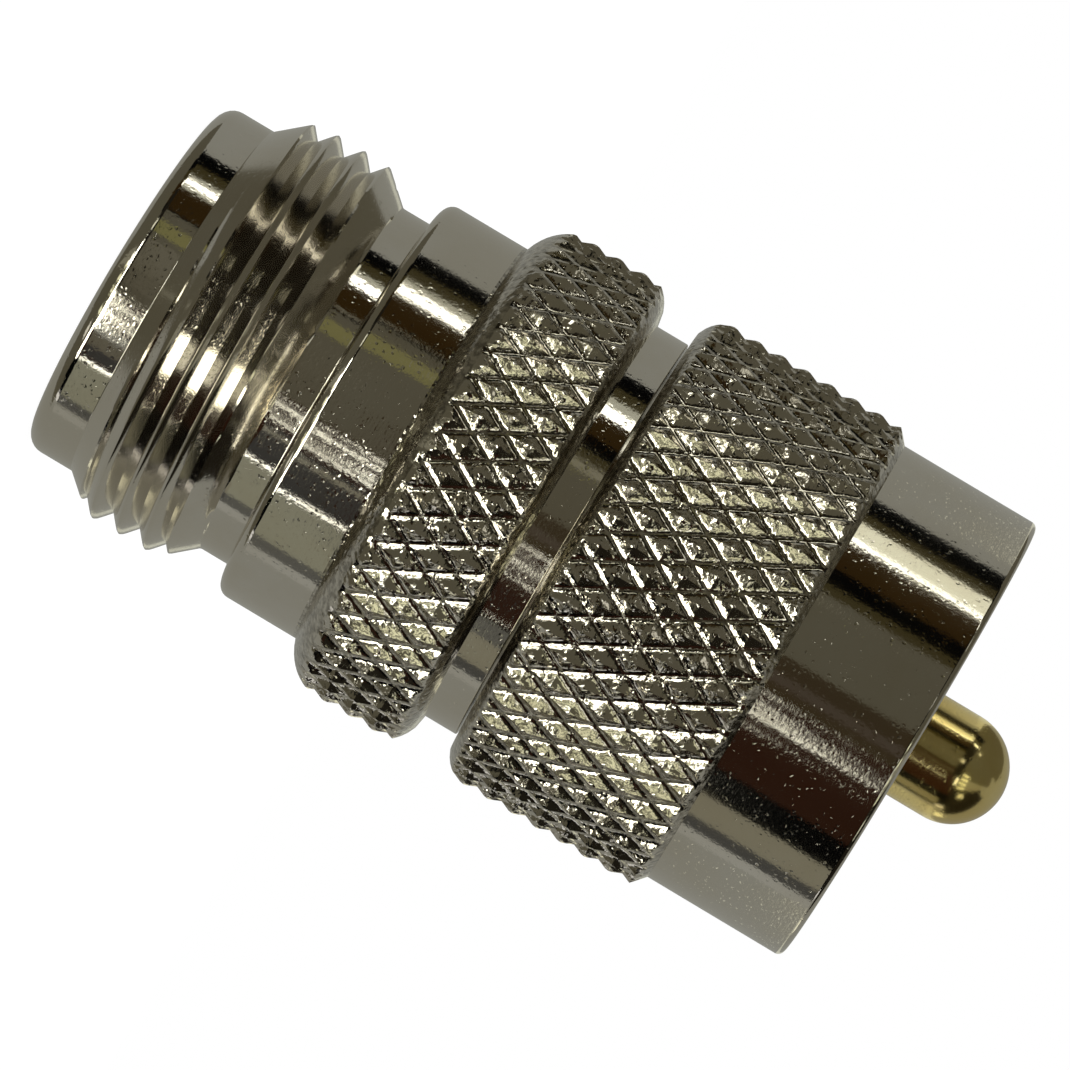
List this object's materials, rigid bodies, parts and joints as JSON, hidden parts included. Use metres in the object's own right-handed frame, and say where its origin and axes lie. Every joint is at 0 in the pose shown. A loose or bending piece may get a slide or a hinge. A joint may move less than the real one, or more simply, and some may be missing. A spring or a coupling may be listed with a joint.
{
  "type": "coaxial adapter",
  "caption": "Straight coaxial adapter with a threaded jack at one end and a loose knurled coupling nut round a gold centre pin at the other.",
  "frame": {"origin": "centre of the jack's nose face, on the axis, where the adapter stands", "axes": "+Z along the axis, from the jack's nose face to the tip of the centre pin"},
  "size_m": [0.0184, 0.0184, 0.0353],
  "materials": {
    "nickel_plate": "bright nickel plate over turned brass",
    "gold_plate": "bright gold plate over turned brass",
    "white_plastic": "turned waxy white fluoroplastic"
  },
  "bodies": {
    "adapter": {"jack_shell": "nickel_plate", "plug_body": "nickel_plate", "socket_contact": "gold_plate", "centre_pin": "gold_plate", "jack_insulator": "white_plastic", "plug_insulator": "white_plastic"},
    "nut": {"coupling_nut": "nickel_plate"}
  },
  "joints": [
    {"name": "nut_spin", "type": "hinge", "parent": "adapter", "child": "nut", "pos_m": [0, 0, 0.0187], "axis": [0, 0, 1], "continuous": true}
  ]
}
